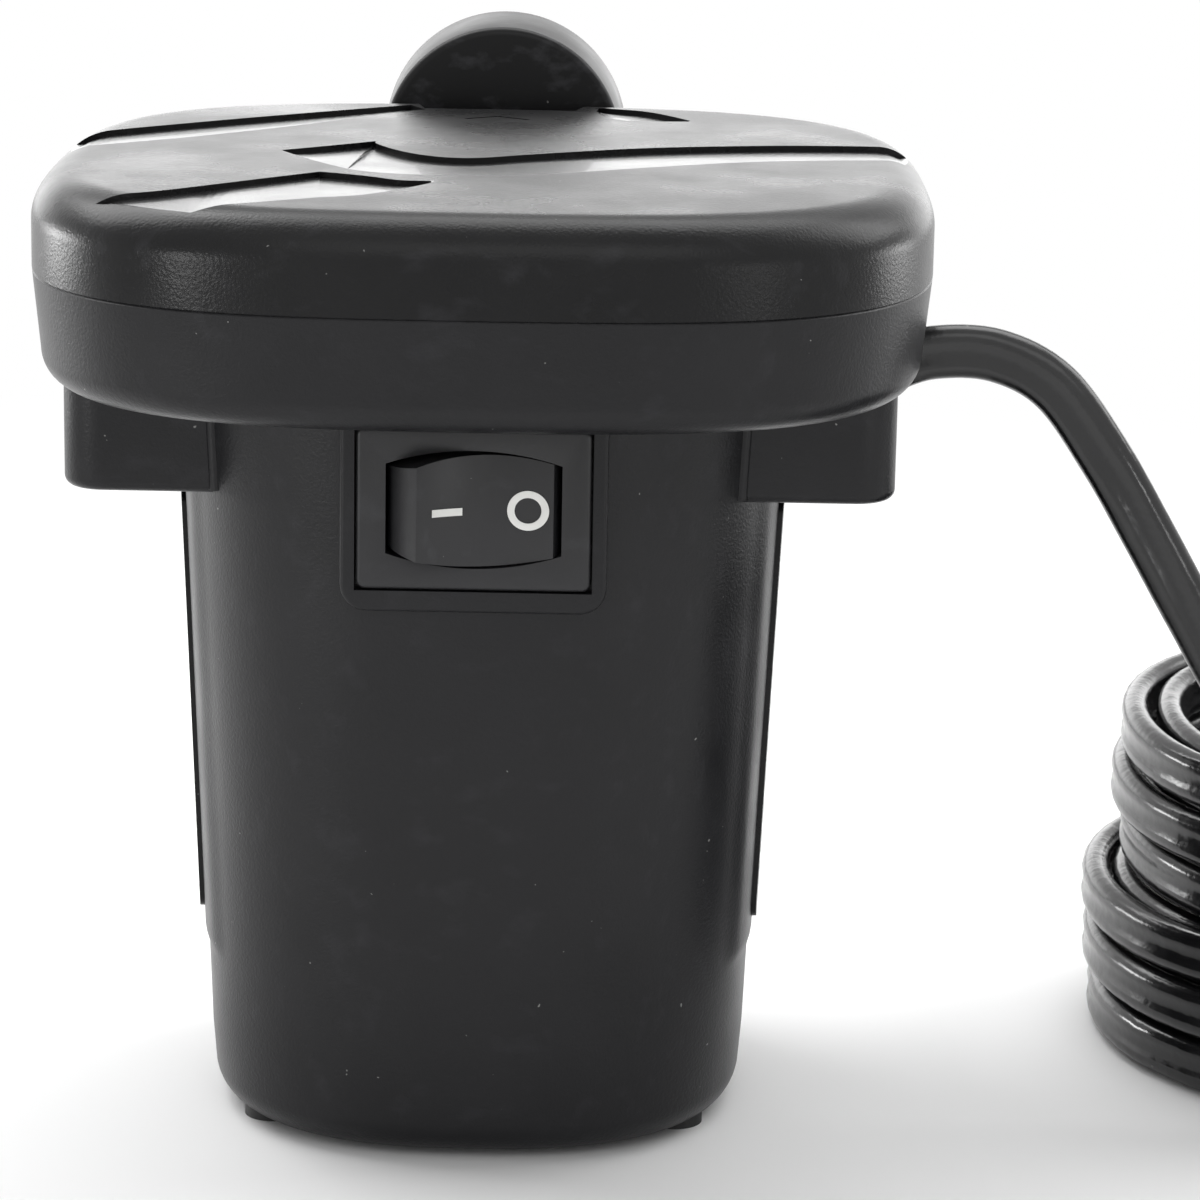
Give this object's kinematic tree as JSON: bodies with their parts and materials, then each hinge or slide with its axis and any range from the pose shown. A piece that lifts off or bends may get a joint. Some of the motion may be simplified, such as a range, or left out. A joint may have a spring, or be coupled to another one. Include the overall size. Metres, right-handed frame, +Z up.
{
  "type": "electric air mattress pump",
  "caption": "Compact 12 V electric air pump with a wide fan head, tapered body, rear outlet collar, rocker switch and coiled flat cord with a car plug.",
  "frame": {"origin": "middle of the standing footprint of the pump without its cord, on the surface it stands on", "axes": "+Z up, +Y out of the outlet collar, -Y the switch side, +X the side the cord leaves"},
  "size_m": [0.182, 0.1995, 0.101],
  "materials": {
    "black_abs": "fine spark-eroded satin",
    "dark_abs": "smooth satin",
    "switch_nylon": "satin",
    "white_print": "printed mark",
    "black_rubber": "matte",
    "pvc_cord": "glossy",
    "plug_plastic": "satin",
    "zinc_steel": "zinc plated",
    "motor_steel": "plated",
    "copper": "bare or enamelled copper",
    "brass": "plain",
    "ferrite": "ground",
    "carbon": "matte",
    "impeller_nylon": "natural",
    "wire_red": "insulation",
    "capacitor_blue": "dipped ceramic",
    "fuse_glass": "clear",
    "lamp_red": "clear red"
  },
  "bodies": {
    "pump": {"body_housing": "black_abs", "side_grille_left": "dark_abs", "side_grille_right": "dark_abs", "rubber_feet": "black_rubber", "head_base": "black_abs", "top_cover": "black_abs", "outlet_collar": "dark_abs", "housing_screws": "zinc_steel", "motor_can": "motor_steel", "motor_end_cap": "dark_abs", "motor_magnets": "ferrite", "motor_brushes": "carbon", "brush_springs": "copper", "motor_terminals": "brass", "motor_bush_top": "brass", "motor_bush_bottom": "brass", "motor_screws": "zinc_steel", "motor_cushion": "black_rubber", "noise_capacitor": "capacitor_blue", "switch_housing": "switch_nylon", "switch_terminals": "brass", "switch_wires": "wire_red", "cord_grommet": "black_rubber", "cord_lead": "pvc_cord", "cord_coil": "pvc_cord", "cord_tail": "pvc_cord", "plug_handle": "plug_plastic", "plug_nose": "plug_plastic", "plug_end_ring": "zinc_steel", "plug_spring": "zinc_steel", "plug_side_contacts": "zinc_steel", "plug_sleeve": "pvc_cord", "plug_lamp": "lamp_red"},
    "rotor": {"motor_shaft": "zinc_steel", "armature_core": "motor_steel", "armature_windings": "copper", "commutator": "copper", "impeller": "impeller_nylon", "impeller_washer": "zinc_steel"},
    "rocker": {"switch_rocker": "switch_nylon", "rocker_plunger": "impeller_nylon", "rocker_marks": "white_print"},
    "contact": {"switch_contact": "copper"},
    "tip": {"plug_tip": "brass", "plug_fuse": "fuse_glass"}
  },
  "joints": [
    {"name": "rotor_spin", "type": "hinge", "parent": "pump", "child": "rotor", "pos_m": [0, -0.001, 0.08], "axis": [0, 0, 1], "continuous": true},
    {"name": "rocker_tilt", "type": "hinge", "parent": "pump", "child": "rocker", "pos_m": [0, -0.0324, 0.0643], "axis": [0, 0, -1], "range_deg": [0, 25]},
    {"name": "contact_tilt", "type": "hinge", "parent": "pump", "child": "contact", "pos_m": [0, -0.0263, 0.0643], "axis": [0, 0, 1], "range_deg": [0, 12.5]},
    {"name": "tip_press", "type": "slide", "parent": "pump", "child": "tip", "axis": [0, -1, 0], "range_m": [0, 0.003], "stiffness_N_per_m": 600}
  ],
  "couplings": [
    {"joint": "contact_tilt", "follows": "rocker_tilt", "ratio": 0.48}
  ]
}
